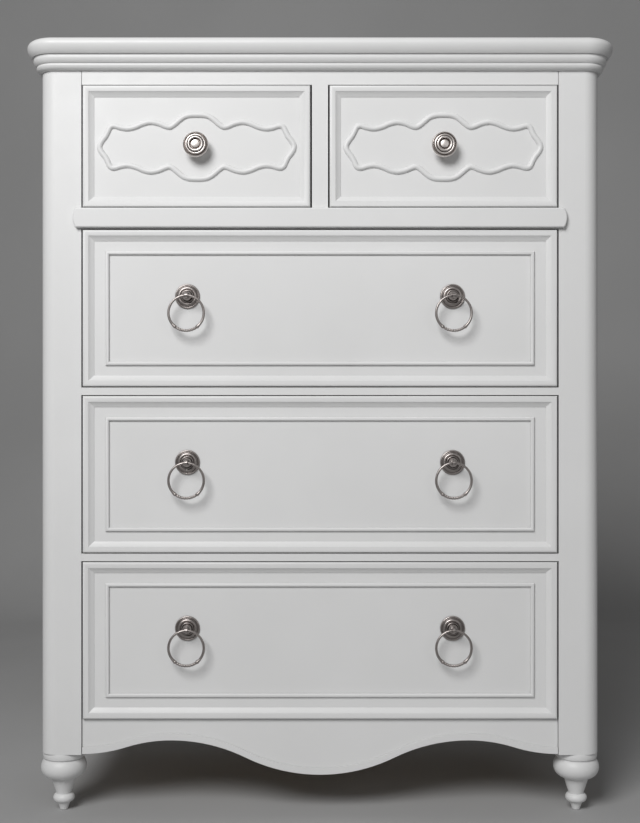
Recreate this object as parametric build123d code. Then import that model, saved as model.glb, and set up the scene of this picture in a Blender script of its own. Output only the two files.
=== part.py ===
from build123d import *
import os

# A tall painted chest of drawers: two small drawers with knobs over three wide drawers with ring pulls,
# in a case of four posts, panels and rails, under a moulded cornice, on four turned feet.
#
# Millimetres. X to the right, Y to the back, Z up, floor at Z = 0. Every piece is drawn with Y = 0 on
# the front face of the posts, and save() then moves it so that the whole depth is centred on the origin.

os.makedirs("parts", exist_ok=True)

# ------------------------------------------------------------------ case sizes
body_width = 946.0               # across the outer faces of the posts
body_depth = 452.0               # front face of the front posts to the rear face
foot_height = 102.0              # floor to the underside of the posts
post_width = 70.5
post_depth = 70.0
post_corner_radius = 26.0        # round of the outer front corner
apron_rise = 59.5                # underside of the posts to the top of the apron
wide_drawer_height = 264.0
small_drawer_height = 205.2
wide_drawer_count = 3
drawer_gap = 1.6                 # above and below each drawer front
drawer_side_gap = 2.7
web_thickness = 12.8             # rails and runners of the frames between the drawers
waist_rail_height = 34.7
top_rail_height = 23.2
top_rail_thickness = 22.0
stile_width = 27.0
stile_thickness = 22.0
joint_groove_width = 1.2         # shadow groove between a post and the top rail or the apron
joint_groove_depth = 2.0

# ------------------------------------------------------------------ cornice
top_thickness = 26.6
top_overhang = 25.1
top_under_overhang = 18.0        # where the underside of the top board ends
nose_radius = 11.0               # upper round of the top board's edge
bed_height = 25.0                # moulding under the top board
bed_overhang = 15.5
bed_bead_height = 10.5           # the small lowest member
bed_step_overhang = 11.0
bed_bead_overhang = 9.8
bed_foot_overhang = 1.5
bed_back = 18.0                  # how far the moulding reaches in over the posts
member_bulge = 2.0               # how far the round members swell past a straight slope

# ------------------------------------------------------------------ panels
side_panel_thickness = 18.0
side_panel_setback = 5.0
panel_rise = 12.0                # underside of the posts to the underside of the panels
tongue_thickness = 8.0
tongue_depth = 8.0
back_panel_thickness = 5.0
back_panel_recess = 3.0
back_rebate = 15.0
top_rear_rail_height = 40.0
top_rear_rail_thickness = 20.0

# ------------------------------------------------------------------ waist band and apron
band_height = 33.1
band_thickness = 9.0
band_lap = 13.0                  # how far the band laps over each post
band_end_bow = 4.8
band_edge_radius = 2.5
apron_thickness = 20.0
apron_setback = 4.0
apron_end_rise = 1.2             # lower edge of the apron above the posts' underside, at its ends
apron_crest_rise = 24.3
apron_drop = 33.7                # how far the apron's middle hangs below the posts' underside
apron_crest_share = 0.624        # place of the crests along the half span
apron_bead_width = 11.1
apron_bead_thickness = 2.5

# ------------------------------------------------------------------ turned feet
foot_inset = 34.2                # foot's axis from the outer side face and the front of the case
rear_foot_inset = 39.5           # rear feet's axes from the rear face, which keeps them clear of a wall
collar_radius = 34.6
collar_height = 10.5
collar_bulge = 0.8
foot_groove_radius = 32.2
foot_groove_height = 2.2
bun_radius = 38.7
bun_height = 33.7
bun_max_drop = 13.0              # widest place of the bun below its top
bun_foot_radius = 21.8
neck_top_radius = 21.0
neck_radius = 12.6
neck_waist_share = 0.1           # how far the neck's middle is pulled towards its narrow end
ring_radius = 18.2
ring_height = 14.8
ring_foot_radius = 11.2
tip_height = 13.6
tip_radius = 6.9
foot_bolt_radius = 4.0
foot_bolt_length = 70.0

# ------------------------------------------------------------------ drawer fronts
field_setback = 3.0              # face of the front board behind the face of the posts
front_thickness = 20.0
frame_width = 18.5
frame_crown_width = 10.0
frame_height = 7.0
frame_edge_radius = 3.5
frame_crown_fall = 0.8           # inner edge of the crown below its top
frame_slope_hollow = 0.4
frame_lip = 0.8                  # thickness left at the inner edge of the slope
bead_width = 6.5
bead_height = 4.5
bead_lip = 1.0
bead_inset_side = 38.0           # drawer front's edge to the bead's outer edge
bead_inset_top = 35.5
carving_width = 9.5
carving_height = 4.2
carving_side_margin = 4.5        # frame's inner edge to the carving's end
carving_half_height = 54.0
carving_valley_radius = 8.0
carving_crest_radius = 14.0
carving_corner_radius = 9.0
carving_turns = [                # turns of the winding line: shares of its half width and half height, radius
    (0.10, 1.00, carving_crest_radius),
    (0.29, 0.57, carving_valley_radius),
    (0.47, 0.80, carving_crest_radius),
    (0.71, 0.54, carving_crest_radius),
    (0.89, 0.70, carving_valley_radius),
    (0.92, 0.37, carving_valley_radius),
    (1.00, 0.12, carving_corner_radius),
]

# ------------------------------------------------------------------ drawer boxes
box_inset = 6.0                  # drawer front's edge to the outer face of the drawer side
box_thickness = 12.0
wide_box_height = 205.0
small_box_height = 150.0
box_rear_clearance = 16.0        # closed drawer to the back panel
bottom_thickness = 6.0
bottom_rise = 16.0               # underside of the drawer side to the underside of the bottom
bottom_groove = 5.0
running_clearance = 0.4          # drawer side above its runner
box_back_drop = 8.0              # top of the drawer back below the top of the sides
guide_strip_width = 16.0
guide_strip_rise = 2.0           # strips above the level of the runners
guide_clearance = 1.0            # each side of the guide rail
guide_rail_width = 22.0
guide_rail_rise = 9.0
runner_width = 75.0
centre_runner_reach = 27.0       # centre runner past each side of the stile

# ------------------------------------------------------------------ pulls
pull_edge_distance = 176.2       # drawer front's side edge to the pull's axis
pull_rise = 20.0                 # pull's axis above the middle of the front
bolt_radius = 2.0
bolt_hole_radius = 2.25
bolt_head_radius = 4.5
bolt_head_height = 2.6
bolt_grip = 7.5                  # how far the bolt screws into the knob or rosette
rosette_radius = 21.0
rosette_rim_height = 2.6
rosette_step_radius = 16.0
rosette_step_height = 5.0
rosette_inner_radius = 11.0
rosette_inner_height = 6.5
rosette_neck_radius = 5.5
ball_radius = 8.0
ball_height = 10.0               # ball's centre above the drawer's face
lug_width = 5.0
lug_radius = 4.6
ring_stand_off = 22.0            # ring's plane above the drawer's face
ring_mean_radius = 29.5
wire_radius = 2.0
eye_radius = 2.4
collar_angle = 39.0              # ring's knuckles from its lowest point
knuckle_radius = 3.4
knuckle_length = 4.0
knob_radius = 21.4
knob_height = 28.0
knob_base_radius = 10.0
knob_base_height = 3.0
knob_neck_radius = 7.0
knob_neck_height = 11.0
knob_rim_height = 19.0           # widest place of the knob above the drawer's face
knob_groove_radius = 18.0
knob_groove_depth = 4.0
knob_boss_radius = 10.5
knob_cup_radius = 8.0
knob_cup_depth = 3.0
knob_button_radius = 6.5

# ------------------------------------------------------------------ worked-out places
body_half = body_width / 2
opening_half = body_half - post_width
stile_half = stile_width / 2
sill_top = foot_height + apron_rise
wide_pitch = wide_drawer_height + web_thickness + 2 * drawer_gap
wide_bottoms = [sill_top + drawer_gap + i * wide_pitch for i in range(wide_drawer_count)]
rail_tops = [z - drawer_gap for z in wide_bottoms[1:]]
waist_bottom = wide_bottoms[-1] + wide_drawer_height + drawer_gap
waist_top = waist_bottom + waist_rail_height
small_bottom = waist_top + drawer_gap
top_rail_bottom = small_bottom + small_drawer_height + drawer_gap
case_top = top_rail_bottom + top_rail_height
panel_bottom = foot_height + panel_rise
rear_post_front = body_depth - post_depth
back_panel_front = body_depth - back_panel_recess - back_panel_thickness
side_panel_outer = body_half - side_panel_setback
side_panel_inner = side_panel_outer - side_panel_thickness
apron_back = apron_setback + apron_thickness
box_front = field_setback + front_thickness
box_rear = back_panel_front - box_rear_clearance
front_reach = max(               # furthest piece in front of the posts' face
    top_overhang, knob_height - field_setback, ring_stand_off + lug_radius - field_setback)
front_face_y = front_reach - (body_depth + front_reach) / 2
slack = 5.0                      # extra length of cutting tools past what they cut
diagonal = 0.5 ** 0.5            # how far along each axis the middle of a quarter round lies, in radii


# ------------------------------------------------------------------ helpers
def save(node, solids):
    """Write one sub-part, moved from the posts' face to its place about the origin."""
    placed = [Pos(0, front_face_y, 0) * solid for piece in solids for solid in piece.solids()]
    export_step(Compound(placed), f"parts/{node}.step")


def block(x0, x1, y0, y1, z0, z1):
    """A board given by its two limits in each direction."""
    return Pos((x0 + x1) / 2, (y0 + y1) / 2, (z0 + z1) / 2) * Box(x1 - x0, y1 - y0, z1 - z0)


def mirrored(solid):
    """The same piece on the other side of the chest."""
    return mirror(solid, about=Plane.YZ)


def rod(radius, x, z, y0, y1):
    """A round bar along Y."""
    return Pos(x, (y0 + y1) / 2, z) * Rot(90, 0, 0) * Cylinder(radius, y1 - y0)


def turned_upright(edges):
    """A solid of revolution about Z from its half outline (out, up)."""
    return revolve(Plane.XZ * make_face(edges), axis=Axis.Z)


def turned_forward(edges):
    """A solid of revolution about Y from its half outline (out, -forward)."""
    return revolve(make_face(edges), axis=Axis.Y)


def s_curve(start, end):
    """Two arcs that leave both points level and meet halfway between them."""
    middle = ((start[0] + end[0]) / 2, (start[1] + end[1]) / 2)
    heading = 1 if end[0] > start[0] else -1
    return [TangentArc(start, middle, tangent=(heading, 0)), TangentArc(end, middle, tangent=(-heading, 0))]


def bulged(start, end):
    """A round member between two points (out, up) of a cornice profile, swelling outwards and down."""
    bulge = Vector(end[0] - start[0], end[1] - start[1]).normalized().rotate(Axis.Z, -90) * member_bulge
    middle = ((start[0] + end[0]) / 2 + bulge.X, (start[1] + end[1]) / 2 + bulge.Y)
    return ThreePointArc(start, middle, end)


def round_case(edges, z):
    """Carry a profile (out from the posts, up from z) round the left side, the front and the right side."""
    corners = [(-body_half, body_depth, z), (-body_half, 0, z), (body_half, 0, z), (body_half, body_depth, z)]
    path = FilletPolyline(*corners, radius=post_corner_radius)
    start = Plane(origin=corners[0], x_dir=(-1, 0, 0), z_dir=(0, 1, 0))
    return sweep(start * make_face(edges), path=path)


# ------------------------------------------------------------------ cornice
def top_board():
    nose_start = (top_overhang, top_thickness - nose_radius)
    nose_middle = (
        top_overhang - nose_radius + nose_radius * diagonal,
        top_thickness - nose_radius + nose_radius * diagonal,
    )
    nose_end = (top_overhang - nose_radius, top_thickness)
    under_end = (top_under_overhang, 0)
    inner = -post_corner_radius / 2
    edge = [
        Line((inner, 0), under_end),
        bulged(under_end, nose_start),
        ThreePointArc(nose_start, nose_middle, nose_end),
        Line(nose_end, (inner, top_thickness)),
        Line((inner, top_thickness), (inner, 0)),
    ]
    z = case_top + bed_height
    middle = block(-body_half - inner, body_half + inner, -inner, body_depth, z, z + top_thickness)
    return round_case(edge, z) + middle


def cornice_moulding():
    """The bed moulding as a front length and two mitred returns, with a plain rail between them behind."""
    top_out = (bed_overhang, bed_height)
    step_low = (bed_step_overhang, bed_bead_height)
    step_in = (bed_bead_overhang, bed_bead_height)
    foot = (bed_foot_overhang, 0)
    profile = [
        Line((-bed_back, 0), foot),
        bulged(foot, step_in),
        Line(step_in, step_low),
        bulged(step_low, top_out),
        Line(top_out, (-bed_back, bed_height)),
        Line((-bed_back, bed_height), (-bed_back, 0)),
    ]
    whole = round_case(profile, case_top)
    reach = top_overhang + slack
    wedge_face = make_face(Polyline(
        (-body_half - reach, -reach), (body_half + reach, -reach), (0, body_half), close=True))
    wedge = Pos(0, 0, case_top - slack) * extrude(wedge_face, amount=bed_height + 2 * slack)
    rear_half = body_half - bed_back
    rear_rail = block(-rear_half, rear_half, body_depth - bed_back, body_depth, case_top, case_top + bed_height)
    return [whole & wedge, whole - wedge, rear_rail]


# ------------------------------------------------------------------ posts and panels
def side_panel():
    """Right-hand side panel with a tongue along both upright edges."""
    middle = (side_panel_inner + side_panel_outer) / 2
    board = block(side_panel_inner, side_panel_outer, post_depth, rear_post_front, panel_bottom, case_top)
    return board + block(
        middle - tongue_thickness / 2, middle + tongue_thickness / 2,
        post_depth - tongue_depth, rear_post_front + tongue_depth, panel_bottom, case_top)


def back_panel():
    half = opening_half + back_rebate
    return block(-half, half, back_panel_front, body_depth - back_panel_recess, panel_bottom, case_top)


def foot_bolt(x, y):
    return Pos(x, y, foot_height) * Cylinder(foot_bolt_radius, foot_bolt_length)


def foot_places():
    """Plan positions (x, y) of the two right-hand feet."""
    x = body_half - foot_inset
    return [(x, foot_inset), (x, body_depth - rear_foot_inset)]


def front_post():
    """Right-hand front post: square, with its outer front corner rounded."""
    post = block(opening_half, body_half, 0, post_depth, foot_height, case_top)
    corner = post.edges().filter_by(Axis.Z).sort_by(lambda edge: edge.center().X - edge.center().Y)[-1]
    post = fillet(corner, post_corner_radius)
    return post - side_panel() - foot_bolt(*foot_places()[0])


def rear_post():
    post = block(opening_half, body_half, rear_post_front, body_depth, foot_height, case_top)
    rebate = block(
        0, opening_half + back_rebate, back_panel_front, body_depth + slack, panel_bottom, case_top + slack)
    return post - side_panel() - rebate - foot_bolt(*foot_places()[1])


# ------------------------------------------------------------------ front of the case
def joint_grooves(y):
    """Cutters for the narrow shadow grooves at both ends of a front rail whose face is at y."""
    groove = block(opening_half - joint_groove_width, opening_half + slack, y - slack, y + joint_groove_depth,
                   foot_height, case_top)
    return groove + mirrored(groove)


def top_rail():
    rail = block(-opening_half, opening_half, 0, top_rail_thickness, top_rail_bottom, case_top)
    return rail - joint_grooves(0)


def centre_stile():
    return block(-stile_half, stile_half, 0, stile_thickness, waist_top, top_rail_bottom)


def waist_band():
    """The raised band under the small drawers, with gently bowed ends, lapping over the posts."""
    z1 = waist_top
    z0 = z1 - band_height
    tip = opening_half + band_lap
    end = tip - band_end_bow
    middle = (z0 + z1) / 2
    outline = [
        Line((-end, z0), (end, z0)),
        ThreePointArc((end, z0), (tip, middle), (end, z1)),
        Line((end, z1), (-end, z1)),
        ThreePointArc((-end, z1), (-tip, middle), (-end, z0)),
    ]
    band = extrude(Plane.XZ * make_face(outline), amount=band_thickness)
    return fillet(band.faces().sort_by(Axis.Y)[0].edges(), band_edge_radius)


def apron_wave(lift):
    """Lower edge of the apron from the left post to the right one, raised by lift."""
    end = (opening_half, foot_height + apron_end_rise + lift)
    crest = (opening_half * apron_crest_share, foot_height + apron_crest_rise + lift)
    trough = (0, foot_height - apron_drop + lift)
    right = s_curve(trough, crest) + s_curve(crest, end)
    left = [mirror(edge, about=Plane.YZ) for edge in right]
    return left + right


def apron():
    z_end = foot_height + apron_end_rise
    outline = apron_wave(0) + [
        Line((opening_half, z_end), (opening_half, sill_top)),
        Line((opening_half, sill_top), (-opening_half, sill_top)),
        Line((-opening_half, sill_top), (-opening_half, z_end)),
    ]
    board = Pos(0, apron_back, 0) * extrude(Plane.XZ * make_face(outline), amount=apron_thickness)
    return board - joint_grooves(apron_setback)


def apron_bead():
    """The flat strip planted along the apron's lower edge."""
    z_end = foot_height + apron_end_rise
    outline = apron_wave(0) + apron_wave(apron_bead_width) + [
        Line((opening_half, z_end), (opening_half, z_end + apron_bead_width)),
        Line((-opening_half, z_end), (-opening_half, z_end + apron_bead_width)),
    ]
    strip = Pos(0, apron_setback, 0) * extrude(Plane.XZ * make_face(outline), amount=apron_bead_thickness)
    return strip - joint_grooves(apron_setback)


# ------------------------------------------------------------------ frames between the drawers
def cross_rails():
    """Front and rear rails of each frame, and the rear rail under the top."""
    rails = [block(-opening_half, opening_half, apron_back, post_depth, sill_top - web_thickness, sill_top)]
    for z in rail_tops:
        rails.append(block(-opening_half, opening_half, 0, post_depth, z - web_thickness, z))
    rails.append(block(-opening_half, opening_half, 0, post_depth, waist_bottom, waist_top))
    for z in [sill_top] + rail_tops + [waist_top]:
        rails.append(block(-opening_half, opening_half, rear_post_front, back_panel_front, z - web_thickness, z))
    rails.append(block(
        -opening_half, opening_half, back_panel_front - top_rear_rail_thickness, back_panel_front,
        case_top - top_rear_rail_height, case_top))
    return rails


def runner(x0, x1, top, rise=0):
    """A strip from the front rail to the rear rail of one frame, raised above it by rise."""
    return block(x0, x1, post_depth, rear_post_front, top - web_thickness, top + rise)


def drawer_runners():
    """Side runners and centre guide rails of every frame."""
    strips = []
    for top in [sill_top] + rail_tops + [waist_top]:
        side = runner(side_panel_inner - runner_width, side_panel_inner, top)
        strips += [side, mirrored(side)]
    for top in [sill_top] + rail_tops:
        strips.append(runner(-guide_rail_width / 2, guide_rail_width / 2, top, guide_rail_rise))
    reach = stile_half + centre_runner_reach
    strips.append(runner(-reach, reach, waist_top))
    guide = runner(
        small_middle - guide_rail_width / 2, small_middle + guide_rail_width / 2, waist_top, guide_rail_rise)
    return strips + [guide, mirrored(guide)]


# ------------------------------------------------------------------ feet
def foot():
    """A turned foot: collar, bun, tapering neck, ring and tip, standing at the origin."""
    collar_low = foot_height - collar_height
    bun_top = collar_low - foot_groove_height
    bun_low = bun_top - bun_height
    ring_top = tip_height + ring_height
    neck_middle_radius = neck_radius + (neck_top_radius - neck_radius) * (0.5 - neck_waist_share / 2)
    points = [
        (0, 0), (0, foot_height), (collar_radius, foot_height), (collar_radius, collar_low),
        (foot_groove_radius, bun_top), (bun_foot_radius, bun_low), (neck_top_radius, bun_low),
        (neck_radius, ring_top), (ring_foot_radius, tip_height), (tip_radius, 0),
    ]
    outline = [
        Line(points[0], points[1]),
        Line(points[1], points[2]),
        ThreePointArc(points[2], (collar_radius + collar_bulge, foot_height - collar_height / 2), points[3]),
        Line(points[3], points[4]),
        ThreePointArc(points[4], (bun_radius, bun_top - bun_max_drop), points[5]),
        Line(points[5], points[6]),
        ThreePointArc(points[6], (neck_middle_radius, (bun_low + ring_top) / 2), points[7]),
        ThreePointArc(points[7], (ring_radius, tip_height + ring_height / 2), points[8]),
        Line(points[8], points[9]),
        Line(points[9], points[0]),
    ]
    return turned_upright(outline)


def feet():
    solids = []
    for x, y in foot_places():
        solid = Pos(x, y, 0) * foot() - foot_bolt(x, y)
        solids += [solid, mirrored(solid)]
    return solids


def foot_bolts():
    bolts = [foot_bolt(x, y) for x, y in foot_places()]
    return bolts + [mirrored(bolt) for bolt in bolts]


# ------------------------------------------------------------------ mouldings on the drawer fronts
def frame_profile():
    """Frame moulding: rounded outer edge, crown, then a slope down to the field (in, up)."""
    shoulder = (frame_edge_radius, frame_height)
    round_inset = frame_edge_radius * (1 - diagonal)
    round_middle = (round_inset, frame_height - round_inset)
    crown = (frame_crown_width, frame_height - frame_crown_fall)
    crown_middle = ((shoulder[0] + crown[0]) / 2, frame_height - frame_crown_fall / 4)
    lip = (frame_width, frame_lip)
    slope_middle = ((crown[0] + lip[0]) / 2, (crown[1] + lip[1]) / 2 - frame_slope_hollow)
    return [
        Line((0, 0), (0, frame_height - frame_edge_radius)),
        ThreePointArc((0, frame_height - frame_edge_radius), round_middle, shoulder),
        ThreePointArc(shoulder, crown_middle, crown),
        ThreePointArc(crown, slope_middle, lip),
        Line(lip, (frame_width, 0)),
        Line((frame_width, 0), (0, 0)),
    ]


def bead_profile():
    """Thin raised bead (in, up)."""
    return [
        Line((0, 0), (0, bead_lip)),
        ThreePointArc((0, bead_lip), (bead_width / 2, bead_height), (bead_width, bead_lip)),
        Line((bead_width, bead_lip), (bead_width, 0)),
        Line((bead_width, 0), (0, 0)),
    ]


def mitred_length(profile, width, length):
    """One length of moulding along X with its outer edge at Z = 0, mitred at both ends."""
    section = Plane(origin=(0, 0, 0), x_dir=(0, 0, 1), z_dir=(1, 0, 0)) * make_face(profile)
    half = length / 2
    bar = extrude(section, amount=half, both=True)
    cut = make_face(Polyline(
        (-half - slack, -slack), (half + slack, -slack),
        (half - width - slack, width + slack), (-half + width + slack, width + slack), close=True))
    return bar & extrude(Plane.XZ * cut, amount=2 * slack, both=True)


def mitred_frame(profile, width, x0, x1, z0, z1):
    """Four mitred lengths round the inside of a rectangle on the drawer's face."""
    centre = Pos((x0 + x1) / 2, field_setback, (z0 + z1) / 2)
    across = Pos(0, 0, (z0 - z1) / 2) * mitred_length(profile, width, x1 - x0)
    upright = Pos(0, 0, (x0 - x1) / 2) * mitred_length(profile, width, z1 - z0)
    turns = [(across, 0), (upright, 90), (across, 180), (upright, 270)]
    return [centre * Rot(0, angle, 0) * length for length, angle in turns]


def carving(x0, x1, z0, z1):
    """The raised sinuous loop round a knob, as one half-round ridge following its winding line."""
    half = (x1 - x0) / 2 - frame_width - carving_side_margin - carving_width / 2
    high = carving_half_height
    quarter = [(across * half, up * high, radius) for across, up, radius in carving_turns]
    lower = [(x, -z, radius) for x, z, radius in reversed(quarter)]
    right = quarter + lower
    left = [(-x, -z, radius) for x, z, radius in right]
    loop = right + left
    path = FilletPolyline(*[(x, z) for x, z, radius in loop], radius=[r for x, z, r in loop], close=True)
    path = Plane.XZ * path
    start = Plane(origin=path @ 0, x_dir=(path % 0).cross(Vector(0, 1, 0)), z_dir=path % 0)
    flat = carving_width / 2
    section = make_face([
        Line((-flat, 0), (flat, 0)),
        ThreePointArc((flat, 0), (0, carving_height), (-flat, 0)),
    ])
    ridge = sweep(start * section, path=path)
    return Pos((x0 + x1) / 2, field_setback, (z0 + z1) / 2) * ridge


# ------------------------------------------------------------------ drawer boxes
def front_board(x0, x1, z0, z1, pulls):
    board = block(x0, x1, field_setback, box_front, z0, z1)
    groove_z = z0 - drawer_gap + running_clearance + bottom_rise
    board -= block(
        x0 + box_inset + box_thickness - bottom_groove, x1 - box_inset - box_thickness + bottom_groove,
        box_front - bottom_groove, box_front + slack, groove_z, groove_z + bottom_thickness)
    for x, z in pulls:
        board -= rod(bolt_hole_radius, x, z, field_setback - slack, box_front + slack)
    return board


def box_bottom(x0, x1, z0):
    """The drawer bottom, let into grooves in the front and the sides."""
    z = z0 - drawer_gap + running_clearance + bottom_rise
    reach = box_inset + box_thickness - bottom_groove
    return block(x0 + reach, x1 - reach, box_front - bottom_groove, box_rear, z, z + bottom_thickness)


def box_sides(x0, x1, z0, height):
    z = z0 - drawer_gap + running_clearance
    left = block(x0 + box_inset, x0 + box_inset + box_thickness, box_front, box_rear, z, z + height)
    right = block(x1 - box_inset - box_thickness, x1 - box_inset, box_front, box_rear, z, z + height)
    return [left - box_bottom(x0, x1, z0), right - box_bottom(x0, x1, z0)]


def box_back(x0, x1, z0, height):
    """The drawer back, between the sides and standing on the bottom."""
    z = z0 - drawer_gap + running_clearance
    reach = box_inset + box_thickness
    return block(
        x0 + reach, x1 - reach, box_rear - box_thickness, box_rear,
        z + bottom_rise + bottom_thickness, z + height - box_back_drop)


def guide_strips(middle, z0):
    """Two strips under the bottom that run either side of the guide rail."""
    top = z0 - drawer_gap + running_clearance + bottom_rise
    low = z0 - drawer_gap + guide_strip_rise
    inner = guide_rail_width / 2 + guide_clearance
    strip = block(inner, inner + guide_strip_width, box_front, box_rear, low, top)
    return [Pos(middle, 0, 0) * strip, Pos(middle, 0, 0) * mirrored(strip)]


# ------------------------------------------------------------------ pulls
def pull_bolt(x, z):
    shank = rod(bolt_radius, x, z, field_setback - bolt_grip, box_front)
    return shank + rod(bolt_head_radius, x, z, box_front, box_front + bolt_head_height)


def knob():
    """A turned knob on its axis, with its back at Y = 0 and its face towards -Y."""
    groove_floor = -knob_height + knob_groove_depth
    boss_foot = -knob_height + knob_groove_depth / 2
    cup_floor = -knob_height + knob_cup_depth
    button_face = -knob_height + knob_cup_depth / 2
    back_middle = ((knob_neck_radius + knob_radius) / 2, -(knob_neck_height + knob_rim_height) / 2)
    points = [
        (0, 0), (knob_base_radius, 0), (knob_base_radius, -knob_base_height),
        (knob_neck_radius, -knob_base_height), (knob_neck_radius, -knob_neck_height), back_middle,
        (knob_radius, -knob_rim_height), (knob_groove_radius, boss_foot), (knob_groove_radius, groove_floor),
        (knob_boss_radius, boss_foot), (knob_boss_radius, -knob_height), (knob_cup_radius, -knob_height),
        (knob_cup_radius, cup_floor), (knob_button_radius, button_face), (0, button_face), (0, 0),
    ]
    outline = [Line(start, end) for start, end in zip(points, points[1:])]
    rim = TangentArc(points[6], points[7], tangent=(0, -1))
    return turned_forward(outline[:6] + [rim] + outline[7:]) - rod(bolt_radius, 0, 0, -bolt_grip, slack)


def rosette():
    """A stepped round backplate with a ball, and on the ball the lug that holds the ring."""
    points = [
        (0, 0), (rosette_radius, 0), (rosette_radius, -rosette_rim_height),
        (rosette_step_radius, -rosette_rim_height), (rosette_step_radius, -rosette_step_height),
        (rosette_inner_radius, -rosette_step_height), (rosette_inner_radius, -rosette_inner_height),
        (rosette_neck_radius, -rosette_inner_height), (rosette_neck_radius, -ball_height), (0, -ball_height),
    ]
    plate = turned_forward(Polyline(*points, close=True)) + Pos(0, -ball_height, 0) * Sphere(ball_radius)
    lug = block(-lug_width / 2, lug_width / 2, -ring_stand_off, -ball_height, -lug_radius, lug_radius)
    lug += Pos(0, -ring_stand_off, 0) * Rot(0, 90, 0) * Cylinder(lug_radius, lug_width)
    eye = Pos(0, -ring_stand_off, 0) * Rot(0, 90, 0) * Cylinder(eye_radius, 2 * ball_radius)
    return plate + lug - eye - rod(bolt_radius, 0, 0, -bolt_grip, slack)


def ring():
    """The hanging ring, its top at the origin inside the lug's eye, with two knuckles low on its sides."""
    loop = Rot(90, 0, 0) * Torus(ring_mean_radius, wire_radius)
    for side in (-1, 1):
        knuckle = Pos(0, 0, -ring_mean_radius) * Rot(0, 90, 0) * Cylinder(knuckle_radius, knuckle_length)
        loop += Rot(0, side * collar_angle, 0) * knuckle
    return Pos(0, 0, -ring_mean_radius) * loop


# ------------------------------------------------------------------ drawers
def save_drawer(name, x0, x1, z0, height, box_height, pulls):
    """Write the boards common to all the drawers."""
    z1 = z0 + height
    save(f"{name}_front", [front_board(x0, x1, z0, z1, pulls)])
    save(f"{name}_sides", box_sides(x0, x1, z0, box_height))
    save(f"{name}_back", [box_back(x0, x1, z0, box_height)])
    save(f"{name}_bottom", [box_bottom(x0, x1, z0)])
    save(f"{name}_guide", guide_strips((x0 + x1) / 2, z0))


def save_small_drawer(name, x0, x1):
    z0 = small_bottom
    z1 = z0 + small_drawer_height
    pull = ((x0 + x1) / 2, (z0 + z1) / 2)
    save_drawer(name, x0, x1, z0, small_drawer_height, small_box_height, [pull])
    save(f"{name}_moulding", mitred_frame(frame_profile(), frame_width, x0, x1, z0, z1))
    save(f"{name}_carving", [carving(x0, x1, z0, z1)])
    save(f"{name}_knob", [Pos(pull[0], field_setback, pull[1]) * knob(), pull_bolt(*pull)])


def save_wide_drawer(name, z0):
    x1 = opening_half - drawer_side_gap
    x0 = -x1
    z1 = z0 + wide_drawer_height
    pull_z = (z0 + z1) / 2 + pull_rise
    pull_x = x1 - pull_edge_distance
    pulls = [(-pull_x, pull_z), (pull_x, pull_z)]
    save_drawer(name, x0, x1, z0, wide_drawer_height, wide_box_height, pulls)
    bead = mitred_frame(
        bead_profile(), bead_width, x0 + bead_inset_side, x1 - bead_inset_side,
        z0 + bead_inset_top, z1 - bead_inset_top)
    save(f"{name}_moulding", mitred_frame(frame_profile(), frame_width, x0, x1, z0, z1) + bead)
    rosettes = [Pos(x, field_setback, z) * rosette() for x, z in pulls]
    save(f"{name}_rosettes", rosettes + [pull_bolt(x, z) for x, z in pulls])
    for side, (x, z) in zip(("left", "right"), pulls):
        save(f"{name}_{side}_ring", [Pos(x, field_setback - ring_stand_off, z) * ring()])


small_x0 = stile_half + drawer_side_gap
small_x1 = opening_half - drawer_side_gap
small_middle = (small_x0 + small_x1) / 2

save("top_board", [top_board()])
save("cornice_moulding", cornice_moulding())
save("right_front_post", [front_post()])
save("left_front_post", [mirrored(front_post())])
save("rear_posts", [rear_post(), mirrored(rear_post())])
save("right_side_panel", [side_panel()])
save("left_side_panel", [mirrored(side_panel())])
save("back_panel", [back_panel()])
save("top_rail", [top_rail()])
save("centre_stile", [centre_stile()])
save("waist_band", [waist_band()])
save("apron", [apron()])
save("apron_bead", [apron_bead()])
save("cross_rails", cross_rails())
save("drawer_runners", drawer_runners())
save("feet", feet())
save("foot_bolts", foot_bolts())

save_small_drawer("top_left", -small_x1, -small_x0)
save_small_drawer("top_right", small_x0, small_x1)
for drawer_name, bottom in zip(("lower", "middle", "upper"), wide_bottoms):
    save_wide_drawer(drawer_name, bottom)
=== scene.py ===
import math

import bmesh
import bpy
from mathutils import Matrix, Vector


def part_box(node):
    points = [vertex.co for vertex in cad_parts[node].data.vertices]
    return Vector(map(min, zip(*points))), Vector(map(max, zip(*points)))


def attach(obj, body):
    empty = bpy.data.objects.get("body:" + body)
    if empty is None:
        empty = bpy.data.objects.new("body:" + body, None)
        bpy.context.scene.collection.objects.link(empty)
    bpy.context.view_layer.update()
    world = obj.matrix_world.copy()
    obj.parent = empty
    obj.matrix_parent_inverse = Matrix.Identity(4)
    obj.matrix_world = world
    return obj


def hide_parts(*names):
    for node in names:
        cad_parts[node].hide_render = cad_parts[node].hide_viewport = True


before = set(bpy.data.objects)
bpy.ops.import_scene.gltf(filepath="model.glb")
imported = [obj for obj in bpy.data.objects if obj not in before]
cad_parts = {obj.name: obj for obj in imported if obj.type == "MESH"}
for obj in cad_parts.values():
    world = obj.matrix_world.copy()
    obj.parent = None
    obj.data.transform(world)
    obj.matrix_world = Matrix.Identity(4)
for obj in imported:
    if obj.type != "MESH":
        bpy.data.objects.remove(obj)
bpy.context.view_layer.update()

# ------------------------------------------------------------------ sizes (metres)
MM = 0.001
POST_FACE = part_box("top_rail")[0].y      # the posts, rails and stile share this front face
CASE_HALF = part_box("right_front_post")[1].x
CASE_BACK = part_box("rear_posts")[1].y
CASE_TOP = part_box("top_rail")[1].z
POST_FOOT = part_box("right_front_post")[0].z
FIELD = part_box("upper_front")[0].y       # face of the drawer fronts
POST_CORNER = 26 * MM
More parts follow.
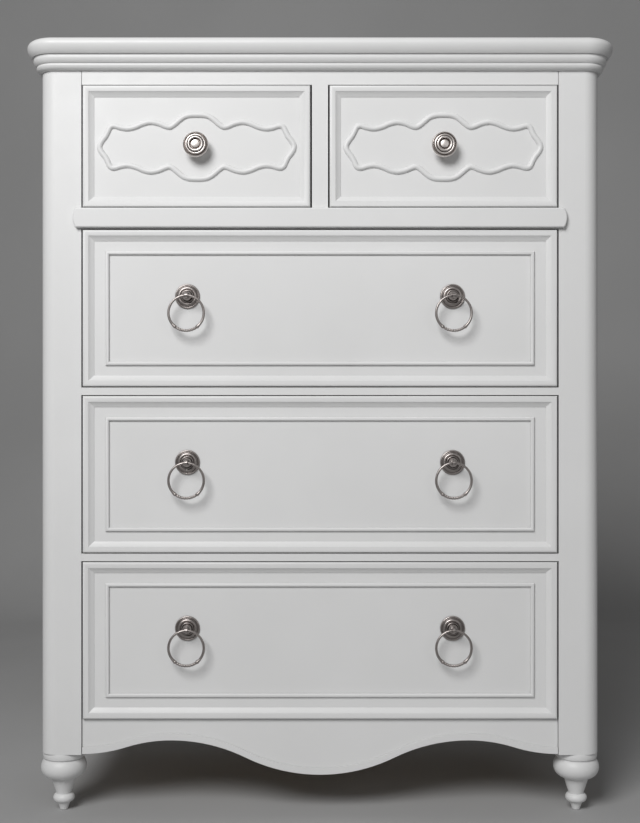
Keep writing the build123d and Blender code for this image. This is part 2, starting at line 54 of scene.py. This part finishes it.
QUARTER_ROUND_INSET = 0.293              # how far in the middle of a quarter round lies, in radii

DRAWERS = ["top_left", "top_right", "upper", "middle", "lower"]
WIDE = DRAWERS[2:]
SMALL = DRAWERS[:2]


# ------------------------------------------------------------------ mesh helpers
def arc(start, through, end, steps):
    """Points on the arc through three places in a plane, both ends included."""
    (ax, ay), (bx, by), (cx, cy) = start, through, end
    d = 2 * (ax * (by - cy) + bx * (cy - ay) + cx * (ay - by))
    a2, b2, c2 = ax * ax + ay * ay, bx * bx + by * by, cx * cx + cy * cy
    ux = (a2 * (by - cy) + b2 * (cy - ay) + c2 * (ay - by)) / d
    uy = (a2 * (cx - bx) + b2 * (ax - cx) + c2 * (bx - ax)) / d
    radius = math.hypot(ax - ux, ay - uy)
    first = math.atan2(ay - uy, ax - ux)
    middle = (math.atan2(by - uy, bx - ux) - first) % math.tau
    last = (math.atan2(cy - uy, cx - ux) - first) % math.tau
    sweep = last if middle < last else last - math.tau
    return [
        (ux + radius * math.cos(first + sweep * i / steps), uy + radius * math.sin(first + sweep * i / steps))
        for i in range(steps + 1)
    ]


def finish_mesh(name, mesh, material, sharp_degrees=32):
    """Turn a bmesh into a shown object, smooth except across edges sharper than the limit."""
    bmesh.ops.remove_doubles(mesh, verts=mesh.verts, dist=1e-6)
    bmesh.ops.recalc_face_normals(mesh, faces=mesh.faces)
    for face in mesh.faces:
        face.smooth = True
    limit = math.radians(sharp_degrees)
    for edge in mesh.edges:
        edge.smooth = len(edge.link_faces) == 2 and edge.calc_face_angle(0) < limit
    data = bpy.data.meshes.new(name)
    mesh.to_mesh(data)
    mesh.free()
    obj = bpy.data.objects.new(name, data)
    bpy.context.collection.objects.link(obj)
    data.materials.append(material)
    return obj


def skin(mesh, rings, close_path=False, caps=True):
    """Faces between rings of points, each ring closed on itself, with flat ends or joined end to end."""
    rows = [[mesh.verts.new(p) for p in ring] for ring in rings]
    pairs = list(zip(rows, rows[1:]))
    if close_path:
        pairs.append((rows[-1], rows[0]))
    for a, b in pairs:
        for i in range(len(a)):
            j = (i + 1) % len(a)
            mesh.faces.new((a[i], a[j], b[j], b[i]))
    if caps and not close_path:
        mesh.faces.new(rows[0][::-1])
        mesh.faces.new(rows[-1])


def lathe(mesh, outline, place, steps=96):
    """A turned solid from (radius, height) points; place carries the Z axis to where the piece stands."""
    rings = []
    for i in range(steps):
        angle = math.tau * i / steps
        rings.append([place @ Vector((r * math.cos(angle), r * math.sin(angle), h)) for r, h in outline])
    rows = [[mesh.verts.new(p) for p in ring] for ring in rings]
    for i in range(steps):
        a, b = rows[i], rows[(i + 1) % steps]
        for j in range(len(outline) - 1):
            mesh.faces.new((a[j], b[j], b[j + 1], a[j + 1]))


def forward(x, y, z):
    """A place whose own Z axis points out of the chest's front."""
    return Matrix.Translation((x, y, z)) @ Matrix.Rotation(math.radians(90), 4, "X")


# ------------------------------------------------------------------ materials
class Nodes:
    """A small wrapper that adds shader nodes and links them."""

    def __init__(self, name):
        self.material = bpy.data.materials.new(name)
        self.material.use_nodes = True
        self.tree = self.material.node_tree
        self.shader = self.tree.nodes["Principled BSDF"]
        self.place = self.add("ShaderNodeTexCoord").outputs["Object"]

    def add(self, kind, **values):
        node = self.tree.nodes.new(kind)
        for key, value in values.items():
            setattr(node, key, value)
        return node

    def link(self, source, target):
        self.tree.links.new(source, target)

    def stretched(self, scale):
        mapping = self.add("ShaderNodeMapping")
        mapping.inputs["Scale"].default_value = scale
        self.link(self.place, mapping.inputs["Vector"])
        return mapping.outputs["Vector"]

    def noise(self, scale, detail=4.0, vector=None, roughness=0.5, distortion=0.0):
        node = self.add("ShaderNodeTexNoise")
        node.inputs["Scale"].default_value = scale
        node.inputs["Detail"].default_value = detail
        node.inputs["Roughness"].default_value = roughness
        node.inputs["Distortion"].default_value = distortion
        self.link(vector or self.place, node.inputs["Vector"])
        return node.outputs["Fac"]

    def remap(self, value, low, high, out_low, out_high):
        node = self.add("ShaderNodeMapRange")
        for key, number in zip(("From Min", "From Max", "To Min", "To Max"), (low, high, out_low, out_high)):
            node.inputs[key].default_value = number
        self.link(value, node.inputs["Value"])
        return node.outputs["Result"]

    def ramp(self, value, *stops):
        node = self.add("ShaderNodeValToRGB")
        elements = node.color_ramp.elements
        while len(elements) < len(stops):
            elements.new(0.5)
        for element, (position, colour) in zip(elements, stops):
            element.position = position
            element.color = (*colour, 1.0)
        self.link(value, node.inputs["Fac"])
        return node.outputs["Color"]

    def mix(self, factor, a, b, blend="MIX"):
        node = self.add("ShaderNodeMix", data_type="RGBA", blend_type=blend)
        for socket, value in ((node.inputs["Factor"], factor), (node.inputs["A"], a), (node.inputs["B"], b)):
            if isinstance(value, (int, float)):
                socket.default_value = value
            elif isinstance(value, tuple):
                socket.default_value = (*value, 1.0)
            else:
                self.link(value, socket)
        return [s for s in node.outputs if s.type == "RGBA"][0]

    def bump(self, height, strength, distance, under=None):
        node = self.add("ShaderNodeBump")
        node.inputs["Strength"].default_value = strength
        node.inputs["Distance"].default_value = distance
        self.link(height, node.inputs["Height"])
        if under is not None:
            self.link(under, node.inputs["Normal"])
        return node.outputs["Normal"]

    def set(self, **sockets):
        for name, value in sockets.items():
            socket = self.shader.inputs[name.replace("_", " ")]
            if hasattr(value, "is_linked"):
                self.link(value, socket)
            else:
                socket.default_value = value


def painted(name, along):
    """Sprayed satin white paint: faint orange peel, a trace of the wood's grain along one axis, slight
    unevenness of tone, and painted shade that darkens the colour in corners, crevices and between parts."""
    n = Nodes(name)
    grain_scale = [260.0, 260.0, 260.0]
    grain_scale["XYZ".index(along)] = 9.0
    grain = n.noise(1.0, 3.0, n.stretched(tuple(grain_scale)), 0.6)
    tone = n.noise(3.5, 3.0)
    peel = n.noise(900.0, 2.0)
    white = n.mix(n.remap(tone, 0.3, 0.7, 0.0, 1.0), (0.755, 0.755, 0.752), (0.80, 0.80, 0.798))
    # painted shade: ambient occlusion darkens the paint's colour in corners, crevices and between parts
    hollow = n.add("ShaderNodeAmbientOcclusion", samples=8)
    hollow.inputs["Distance"].default_value = 6 * MM
    painted_crevice_shade = n.remap(hollow.outputs["AO"], 0.25, 0.85, 0.72, 1.0)
    shaded = n.mix(1.0, white, n.ramp(painted_crevice_shade, (0.0, (0.0, 0.0, 0.0)), (1.0, (1.0, 1.0, 1.0))), "MULTIPLY")
    n.set(Base_Color=shaded)
    n.set(Roughness=n.remap(n.noise(40.0, 4.0), 0.3, 0.7, 0.38, 0.47))
    peeled = n.bump(peel, 0.06, 0.08 * MM)
    n.set(Normal=n.bump(grain, 0.10, 0.12 * MM, peeled))
    n.shader.inputs["Specular IOR Level"].default_value = 0.45
    return n.material


def bare_wood(name, along, light, dark, shine):
    """Lacquered timber with rings drawn out along the grain, pores and a slow change of tone."""
    n = Nodes(name)
    ring_scale = [34.0, 34.0, 34.0]
    ring_scale["XYZ".index(along)] = 2.2
    rings = n.noise(1.0, 6.0, n.stretched(tuple(ring_scale)), 0.55, 1.2)
    pore_scale = [1400.0, 1400.0, 1400.0]
    pore_scale["XYZ".index(along)] = 45.0
    pores = n.noise(1.0, 2.0, n.stretched(tuple(pore_scale)), 0.5)
    figure = n.ramp(rings, (0.32, dark), (0.5, light), (0.68, tuple(c * 0.86 for c in light)))
    pitted = n.mix(n.remap(pores, 0.56, 0.68, 0.0, 0.5), figure, tuple(c * 0.45 for c in dark))
    n.set(Base_Color=pitted, Roughness=n.remap(rings, 0.3, 0.7, shine, shine + 0.15))
    n.set(Normal=n.bump(pores, 0.25, 0.1 * MM))
    return n.material


def plated(name, bright, dark, roughness, patina):
    """Plated metal: dark patina held in the hollows, rubbed brighter on what stands proud."""
    n = Nodes(name)
    hollow = n.add("ShaderNodeAmbientOcclusion", samples=12)
    hollow.inputs["Distance"].default_value = 5 * MM
    blotch = n.noise(220.0, 5.0)
    spread = n.remap(blotch, 0.3, 0.7, -0.04, 0.04)
    total = n.add("ShaderNodeMath", operation="ADD")
    n.link(hollow.outputs["AO"], total.inputs[0])
    n.link(spread, total.inputs[1])
    colour = n.ramp(total.outputs["Value"], (patina[0], dark), (patina[1], bright))
    n.set(Base_Color=colour, Metallic=1.0)
    n.set(Roughness=n.remap(n.noise(500.0, 4.0), 0.3, 0.7, roughness, roughness + 0.06))
    n.set(Normal=n.bump(n.noise(1300.0, 3.0), 0.05, 0.02 * MM))
    return n.material


PAINT_X = painted("white_paint_across", "X")
PAINT_Z = painted("white_paint_upright", "Z")
PAINT_Y = painted("white_paint_deep", "Y")
BOX_WOOD = bare_wood("drawer_wood", "Y", (0.62, 0.43, 0.25), (0.46, 0.29, 0.15), 0.38)
BACK_WOOD = bare_wood("drawer_back_wood", "X", (0.62, 0.43, 0.25), (0.46, 0.29, 0.15), 0.38)
PLYWOOD = bare_wood("plywood", "X", (0.60, 0.46, 0.30), (0.50, 0.36, 0.21), 0.55)
PEWTER = plated("antique_pewter", (0.40, 0.365, 0.35), (0.06, 0.046, 0.042), 0.34, (0.3, 0.95))
NICKEL = plated("satin_nickel", (0.78, 0.73, 0.70), (0.16, 0.12, 0.105), 0.34, (0.25, 0.9))
ZINC = plated("zinc_plate", (0.6, 0.6, 0.6), (0.25, 0.25, 0.25), 0.35, (0.2, 0.7))


def dress(node, material, bevel=0.0, segments=3):
    """Give a CAD node its material and, where it has bare edges, softly eased ones."""
    obj = bpy.data.objects[node]
    obj.data.materials.clear()
    obj.data.materials.append(material)
    if bevel:
        easing = obj.modifiers.new("eased_edges", "BEVEL")
        easing.width = bevel
        easing.segments = segments
        easing.limit_method = "ANGLE"
        easing.angle_limit = math.radians(50)
        easing.harden_normals = True


# ------------------------------------------------------------------ carried-over boards
for board in ("left_front_post", "right_front_post", "rear_posts"):
    dress(board, PAINT_Z, 0.9 * MM)
for board in ("left_side_panel", "right_side_panel", "centre_stile"):
    dress(board, PAINT_Z, 0.6 * MM)
for board in ("top_rail", "apron", "apron_bead", "cross_rails", "waist_band"):
    dress(board, PAINT_X, 0.7 * MM)
dress("back_panel", PLYWOOD)
dress("drawer_runners", BOX_WOOD, 0.5 * MM)
dress("foot_bolts", ZINC)
for drawer in DRAWERS:
    dress(f"{drawer}_front", PAINT_X, 0.4 * MM)
    dress(f"{drawer}_sides", BOX_WOOD, 0.8 * MM)
    dress(f"{drawer}_back", BACK_WOOD, 0.8 * MM)
    dress(f"{drawer}_bottom", PLYWOOD)
    dress(f"{drawer}_guide", BOX_WOOD, 0.4 * MM)


# ------------------------------------------------------------------ cornice
def case_outline(steps=20):
    """Stations round the top of the case: points on the posts' outer faces, with their outward directions."""
    stations = [(Vector((-CASE_HALF, CASE_BACK, 0)), Vector((-1, 0, 0)))]
    for side, first in ((-1, 180), (1, 270)):
        centre = Vector((side * (CASE_HALF - POST_CORNER), POST_FACE + POST_CORNER, 0))
        for i in range(steps + 1):
            angle = math.radians(first + 90 * i / steps)
            out = Vector((math.cos(angle), math.sin(angle), 0))
            stations.append((centre + out * POST_CORNER, out))
    stations.append((Vector((CASE_HALF, CASE_BACK, 0)), Vector((1, 0, 0))))
    return stations


def run_round_case(mesh, profile, z):
    skin(mesh, [
        [point + out * u + Vector((0, 0, z + v)) for u, v in profile]
        for point, out in case_outline()])


def make_top_board():
    lo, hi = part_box("top_board")
    over = hi.x - CASE_HALF
    thick = hi.z - lo.z
    nose = 11 * MM
    under = 18 * MM
    edge = arc((under, 0), (over - 2.6 * MM, 6.3 * MM), (over, thick - nose), 12)
    inset = nose * QUARTER_ROUND_INSET
    edge += arc((over, thick - nose), (over - inset, thick - inset), (over - nose, thick), 12)[1:]
    stations = case_outline()
    mesh = bmesh.new()
    rows = [[mesh.verts.new(p + out * u + Vector((0, 0, lo.z + v))) for u, v in edge] for p, out in stations]
    for a, b in zip(rows, rows[1:]):
        for i in range(len(edge) - 1):
            mesh.faces.new((a[i], a[i + 1], b[i + 1], b[i]))
    mesh.faces.new([row[-1] for row in rows])
    mesh.faces.new([row[0] for row in rows][::-1])
    mesh.faces.new(rows[0] + rows[-1][::-1])
    board = finish_mesh("top_board_moulded", mesh, PAINT_X)
    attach(board, "case")
    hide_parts("top_board")


def add_block(mesh, lo, hi):
    """A plain board between two corners."""
    skin(mesh, [[(lo[0], y, lo[2]), (hi[0], y, lo[2]), (hi[0], y, hi[2]), (lo[0], y, hi[2])]
                for y in (lo[1], hi[1])])


def make_cornice():
    lo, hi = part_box("cornice_moulding")
    high = hi.z - lo.z
    back = 18 * MM
    # three members (out, up) that flow into one another through small coves
    members = arc((1.5, 0), (7.4, 2.6), (9.7, 6.6), 10)
    members += arc((9.7, 6.6), (9.9, 8.8), (9.5, 10.1), 5)[1:]
    members += arc((9.5, 10.1), (9.9, 10.9), (11.0, 11.4), 4)[1:]
    members += arc((11.0, 11.4), (14.0, 15.6), (15.2, 20.2), 12)[1:]
    members += arc((15.2, 20.2), (15.1, 22.6), (15.5, high / MM), 5)[1:]
    profile = [(-back, 0)] + [(u * MM, v * MM) for u, v in members] + [(-back, high)]
    mesh = bmesh.new()
    run_round_case(mesh, profile, lo.z)
    rear_half = CASE_HALF - back
    add_block(mesh, (-rear_half, CASE_BACK - back, lo.z), (rear_half, CASE_BACK, hi.z))
    moulding = finish_mesh("cornice_moulding_run", mesh, PAINT_X)
    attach(moulding, "case")
    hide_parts("cornice_moulding")


make_top_board()
make_cornice()


# ------------------------------------------------------------------ mouldings on the drawer fronts
def run_round_rectangle(mesh, profile, x0, x1, z0, z1):
    """A mitred frame: the profile's points are (in from the rectangle's edge, out from the drawer's face)."""
    corners = [(x0, z0, 1, 1), (x1, z0, -1, 1), (x1, z1, -1, -1), (x0, z1, 1, -1)]
    rings = [[Vector((x + sx * u, FIELD - v, z + sz * u)) for u, v in profile] for x, z, sx, sz in corners]
    skin(mesh, rings, close_path=True)


def frame_profile():
    crown = arc((0, 3.5), (1.0, 6.0), (3.5, 7.0), 6)
    crown += arc((3.5, 7.0), (6.8, 6.8), (10.0, 6.2), 6)[1:]
    slope = arc((10.2, 5.9), (14.2, 3.1), (18.5, 0.8), 8)
    return [(0, 0)] + [(u * MM, v * MM) for u, v in crown + slope] + [(18.5 * MM, 0)]


def bead_profile():
    return [(0, 0)] + arc((0, 1.0 * MM), (3.25 * MM, 4.5 * MM), (6.5 * MM, 1.0 * MM), 14) + [(6.5 * MM, 0)]


def make_mouldings():
    for drawer in DRAWERS:
        lo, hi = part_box(f"{drawer}_moulding")
        mesh = bmesh.new()
        run_round_rectangle(mesh, frame_profile(), lo.x, hi.x, lo.z, hi.z)
        if drawer in WIDE:
            side, top = 38 * MM, 35.5 * MM
            run_round_rectangle(mesh, bead_profile(), lo.x + side, hi.x - side, lo.z + top, hi.z - top)
        frame_piece = finish_mesh(f"{drawer}_front_mouldings", mesh, PAINT_X)
        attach(frame_piece, f"{drawer}_drawer")
        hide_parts(f"{drawer}_moulding")


make_mouldings()


# ------------------------------------------------------------------ turned feet
FOOT_INSET = 34.2 * MM
REAR_FOOT_INSET = 39.5 * MM


def foot_outline():
    """(radius, height above the floor), from the post down to the floor."""
    outline = [(0, 102.0)]
    outline += arc((34.6, 102.0), (35.3, 96.7), (34.6, 91.5), 8)
    outline += arc((34.6, 91.5), (32.8, 90.6), (32.2, 89.3), 5)[1:]
    outline += arc((32.2, 89.3), (38.6, 76.3), (21.8, 55.6), 28)[1:]
    outline += arc((21.0, 55.4), (16.9, 42.0), (12.6, 28.6), 14)
    outline += arc((12.6, 28.4), (18.2, 21.0), (11.2, 13.6), 18)[1:]
    outline += arc((11.2, 13.6), (8.8, 7.6), (7.0, 2.0), 6)[1:]
    outline += arc((7.0, 2.0), (6.6, 0.6), (5.5, 0.0), 4)[1:]
    outline += [(0, 0)]
    return [(r * MM, z * MM) for r, z in outline]


def make_feet():
    for end, y in (("front", POST_FACE + FOOT_INSET), ("rear", CASE_BACK - REAR_FOOT_INSET)):
        for side, x in (("left", FOOT_INSET - CASE_HALF), ("right", CASE_HALF - FOOT_INSET)):
            mesh = bmesh.new()
            lathe(mesh, foot_outline(), Matrix.Translation((x, y, 0)))
            foot = finish_mesh(f"{end}_{side}_foot", mesh, PAINT_Z)
            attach(foot, "case")
            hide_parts("feet")


make_feet()


# ------------------------------------------------------------------ knobs
def knob_outline():
    """(radius, height above the drawer's face)."""
    outline = [(0, 0), (10.0, 0), (10.0, 1.6)]
    outline += arc((10.0, 1.6), (9.3, 3.0), (7.6, 3.4), 4)[1:]
    outline += arc((7.2, 3.8), (6.6, 8.0), (8.6, 12.0), 8)
    outline += arc((8.6, 12.0), (14.0, 15.4), (19.6, 17.2), 8)[1:]
    outline += arc((19.6, 17.2), (21.35, 20.2), (19.3, 23.2), 12)[1:]
    outline += arc((18.9, 22.9), (17.9, 20.8), (17.0, 22.4), 6)
    outline += arc((17.0, 22.6), (15.5, 25.2), (13.6, 23.8), 9)[1:]
    outline += arc((13.4, 23.4), (12.7, 22.0), (12.0, 23.6), 5)
    outline += arc((12.0, 24.4), (10.5, 28.0), (9.2, 26.2), 10)
    outline += [(9.0, 23.8), (8.4, 22.8), (7.2, 22.8), (6.8, 23.4), (6.7, 25.2)]
    outline += arc((6.5, 25.6), (3.4, 26.1), (0.0, 26.3), 6)
    return [(r * MM, z * MM) for r, z in outline]


def make_knobs():
    for drawer in SMALL:
        lo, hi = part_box(f"{drawer}_knob")
        x, z = (lo.x + hi.x) / 2, (lo.z + hi.z) / 2
        mesh = bmesh.new()
        lathe(mesh, knob_outline(), forward(x, FIELD, z), 96)
        add_bolt(mesh, x, z, hi.y)
        knob = finish_mesh(f"{drawer}_turned_knob", mesh, NICKEL)
        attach(knob, f"{drawer}_drawer")
        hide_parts(f"{drawer}_knob")


def add_bolt(mesh, x, z, tip):
    """The pan head of the pull's bolt, inside the drawer, whose top is at tip."""
    head = [(0, 0), (4.5, 0), (4.5, 1.0)]
    head += arc((4.5, 1.0), (3.9, 2.1), (2.6, 2.6), 5)[1:]
    head += [(0, 2.6)]
    outline = [(r * MM, h * MM) for r, h in head]
    back = Matrix.Translation((x, tip - 2.6 * MM, z)) @ Matrix.Rotation(math.radians(-90), 4, "X")
    lathe(mesh, outline, back, 32)


make_knobs()


# ------------------------------------------------------------------ carved loops
def carved_line():
    """One quarter of the winding centre line, from above the knob to the loop's end, as shares of the
    loop's half width and half height."""
    return [
        (0.0, 1.0), (0.06, 0.995), (0.11, 0.965), (0.15, 0.905), (0.19, 0.81), (0.232, 0.70), (0.274, 0.625),
        (0.317, 0.64), (0.39, 0.73), (0.472, 0.776), (0.549, 0.73), (0.628, 0.63), (0.707, 0.574),
        (0.78, 0.60), (0.835, 0.65), (0.872, 0.65), (0.897, 0.59), (0.915, 0.47), (0.938, 0.335),
        (0.968, 0.215), (0.992, 0.10), (1.0, 0.0),
    ]


def smooth_loop(points, steps):
    """A closed Catmull-Rom line through the points."""
    count = len(points)
    line = []
    for i in range(count):
        a, b, c, d = (points[(i + k) % count] for k in (-1, 0, 1, 2))
        for k in range(steps):
            t = k / steps
            line.append(0.5 * (2 * b + (c - a) * t + (2 * a - 5 * b + 4 * c - d) * t * t
                               + (3 * b - a - 3 * c + d) * t * t * t))
    return line


def make_carvings():
    for drawer in SMALL:
        lo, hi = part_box(f"{drawer}_carving")
        half_line = 4.75 * MM
        centre = (lo + hi) / 2
        wide, high = (hi.x - lo.x) / 2 - half_line, (hi.z - lo.z) / 2 - half_line
        quarter = [Vector((x * wide, z * high)) for x, z in carved_line()]
        right = quarter + [Vector((p.x, -p.y)) for p in quarter[-2::-1]]
        loop = right + [Vector((-p.x, p.y)) for p in right[-2:0:-1]]
        line = smooth_loop(loop, 5)
        section = [(-4.75, 0)] + arc((-4.6, 0.7), (0, 4.2), (4.6, 0.7), 12) + [(4.75, 0)]
        rings = []
        for i, point in enumerate(line):
            ahead = (line[(i + 1) % len(line)] - line[i - 1]).normalized()
            across = Vector((ahead.y, -ahead.x))
            x, z = centre.x + point.x, centre.z + point.y
            rings.append([
                Vector((x + across.x * u * MM, FIELD - v * MM, z + across.y * u * MM)) for u, v in section])
        mesh = bmesh.new()
        skin(mesh, rings, close_path=True)
        carved = finish_mesh(f"{drawer}_carved_loop", mesh, PAINT_X, 60)
        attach(carved, f"{drawer}_drawer")
        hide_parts(f"{drawer}_carving")


make_carvings()


# ------------------------------------------------------------------ ring pulls
def rosette_outline():
    """(radius, height above the drawer's face) of the backplate."""
    outline = [(0, 0), (20.6, 0)]
    outline += arc((20.8, 0.6), (20.6, 2.2), (18.9, 2.9), 8)
    outline += arc((18.6, 2.7), (17.6, 2.2), (16.8, 2.9), 6)
    outline += arc((16.6, 3.3), (14.2, 5.2), (12.0, 4.9), 9)
    outline += [(11.6, 4.5), (11.2, 4.4)]
    outline += arc((10.9, 4.8), (9.9, 6.2), (8.6, 6.0), 7)
    outline += arc((8.3, 5.7), (7.2, 5.6), (6.4, 6.6), 6)
    outline += [(5.6, 7.6), (0, 7.8)]
    return [(r * MM, z * MM) for r, z in outline]


def ball_outline(radius, centre, steps=28):
    return [
        (radius * math.sin(math.pi * i / steps) * MM, (centre - radius * math.cos(math.pi * i / steps)) * MM)
        for i in range(steps + 1)
    ]


RING_STAND_OFF = 22 * MM
RING_RADIUS = 29.5 * MM
WIRE_RADIUS = 2.0 * MM                   # at the top of the CAD ring, where it hangs in its eye


def ring_places(drawer):
    """(side, x, z) of the two eyes on a wide drawer, from the rings' CAD boxes."""
    places = []
    for side in ("left", "right"):
        lo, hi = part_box(f"{drawer}_{side}_ring")
        places.append((side, (lo.x + hi.x) / 2, hi.z - WIRE_RADIUS))
    return places


def add_lug(mesh, x, z):
    """The narrow eye that stands out of the ball, a flat loop round the ring's wire."""
    half, outer, reach = 2.3 * MM, 4.4 * MM, 9 * MM
    outline = [(reach, outer)]
    for i in range(25):
        angle = math.radians(90 + 180 * i / 24)
        outline.append((math.cos(angle) * outer, math.sin(angle) * outer))
    outline.append((reach, -outer))
    rows = [
        [mesh.verts.new((x + side * half, FIELD - RING_STAND_OFF + u, z + v)) for u, v in outline]
        for side in (-1, 1)]
    for i in range(len(rows[0])):
        j = (i + 1) % len(rows[0])
        mesh.faces.new((rows[0][i], rows[0][j], rows[1][j], rows[1][i]))
    mesh.faces.new(rows[0][::-1])
    mesh.faces.new(rows[1])


def make_rosettes():
    for drawer in WIDE:
        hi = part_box(f"{drawer}_rosettes")[1]
        mesh = bmesh.new()
        for _, x, z in ring_places(drawer):
            lathe(mesh, rosette_outline(), forward(x, FIELD, z), 96)
            lathe(mesh, ball_outline(7.8, 10.0), forward(x, FIELD, z), 48)
            add_lug(mesh, x, z)
            add_bolt(mesh, x, z, hi.y)
        plates = finish_mesh(f"{drawer}_rosette_pair", mesh, PEWTER)
        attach(plates, f"{drawer}_drawer")
        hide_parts(f"{drawer}_rosettes")


def wire_radius(angle):
    """Radius of the ring's section at an angle from its lowest point: slim at the top, fuller low down,
    with an acorn-shaped end on each side of the beaded stretch."""
    slim, fuller, filling = 1.7, 0.8, 0.8
    beads_end, bead_base, bead_swell, bead_degrees = 36, 1.9, 0.6, 8
    acorn_place, acorn_length, acorn_swell = 39, 2.6, 0.95
    taper_place, taper_length, taper_swell = 45, 4.0, 0.35
    thickest = 3.35
    away = abs(angle)
    thick = slim + fuller * max(0.0, 1 - away / 180) ** filling
    if away < beads_end:
        thick = bead_base + bead_swell * abs(math.sin(math.pi * angle / bead_degrees))
    acorn = acorn_swell * math.exp(-((away - acorn_place) / acorn_length) ** 2)
    taper = taper_swell * math.exp(-((away - taper_place) / taper_length) ** 2)
    return min(thick + acorn + taper, thickest) * MM


def make_rings():
    steps, around = 360, 20
    for drawer in WIDE:
        for side, x, z in ring_places(drawer):
            centre = Vector((x, FIELD - RING_STAND_OFF, z - RING_RADIUS))
            rings = []
            for i in range(steps):
                degrees = 360 * i / steps - 180
                angle = math.radians(degrees)
                out = Vector((math.sin(angle), 0, -math.cos(angle)))
                thick = wire_radius(degrees)
                rings.append([
                    centre + out * (RING_RADIUS + thick * math.cos(math.tau * k / around))
                    + Vector((0, thick * math.sin(math.tau * k / around), 0))
                    for k in range(around)])
            mesh = bmesh.new()
            skin(mesh, rings, close_path=True)
            ring = finish_mesh(f"{drawer}_{side}_pull_ring", mesh, PEWTER, 60)
            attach(ring, f"{drawer}_{side}_ring")
            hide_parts(f"{drawer}_{side}_ring")


make_rosettes()
make_rings()


# ------------------------------------------------------------------ stage, light and camera
def make_stage():
    """A grey floor that curves up into a backdrop behind the chest. It hides the chest from behind."""
    half, front, rear, bend, high = 6.0, -6.0, 2.2, 0.6, 5.0
    line = [(front, 0.0), (rear - bend, 0.0)]
    line += [(rear - bend + bend * math.sin(a), bend - bend * math.cos(a))
             for a in (math.radians(90 * i / 12) for i in range(1, 13))]
    line += [(rear, high)]
    mesh = bmesh.new()
    rows = [[mesh.verts.new((side * half, y, z)) for y, z in line] for side in (-1, 1)]
    for i in range(len(line) - 1):
        mesh.faces.new((rows[0][i], rows[1][i], rows[1][i + 1], rows[0][i + 1]))
    n = Nodes("stage_card")
    cloud = n.remap(n.noise(2.0, 3.0), 0.3, 0.7, 0.0, 1.0)
    n.set(Base_Color=n.mix(cloud, (0.42, 0.42, 0.42), (0.45, 0.45, 0.45)))
    n.set(Roughness=0.8)
    stage = finish_mesh("stage_floor", mesh, n.material)


def area_light(name, place, target, size, watts, spread_degrees=180):
    data = bpy.data.lights.new(name, "AREA")
    data.shape = "DISK"
    data.size = size
    data.energy = watts
    data.spread = math.radians(spread_degrees)
    lamp = bpy.data.objects.new(name, data)
    bpy.context.collection.objects.link(lamp)
    lamp.location = place
    lamp.rotation_mode = "QUATERNION"
    lamp.rotation_quaternion = (Vector(target) - Vector(place)).to_track_quat("-Z", "Y")


def make_lights():
    area_light("key_light", (-1.25, -3.1, 2.9), (0.05, 0, 1.2), 2.0, 54, 120)
    area_light("fill_light", (1.8, -3.4, 1.5), (0, 0, 0.8), 2.0, 9)
    world = bpy.data.worlds.new("studio")
    world.use_nodes = True
    background = world.node_tree.nodes["Background"].inputs
    background["Color"].default_value = (0.9, 0.9, 0.9, 1.0)
    background["Strength"].default_value = 0.12
    bpy.context.scene.world = world
    bpy.context.scene.view_settings.view_transform = "Standard"


def make_camera():
    """Level, straight in front of the chest, a little above the middle of its height."""
    distance, height = 2.0, 0.681
    sensor_millimetres, lens_millimetres = 36, 51.9
    data = bpy.data.cameras.new("camera")
    data.sensor_width = sensor_millimetres
    data.lens = lens_millimetres
    camera = bpy.data.objects.new("camera", data)
    bpy.context.collection.objects.link(camera)
    camera.location = (0, POST_FACE - distance, height)
    camera.rotation_euler = (math.radians(90), 0, 0)
    bpy.context.scene.camera = camera


make_stage()
make_lights()
make_camera()
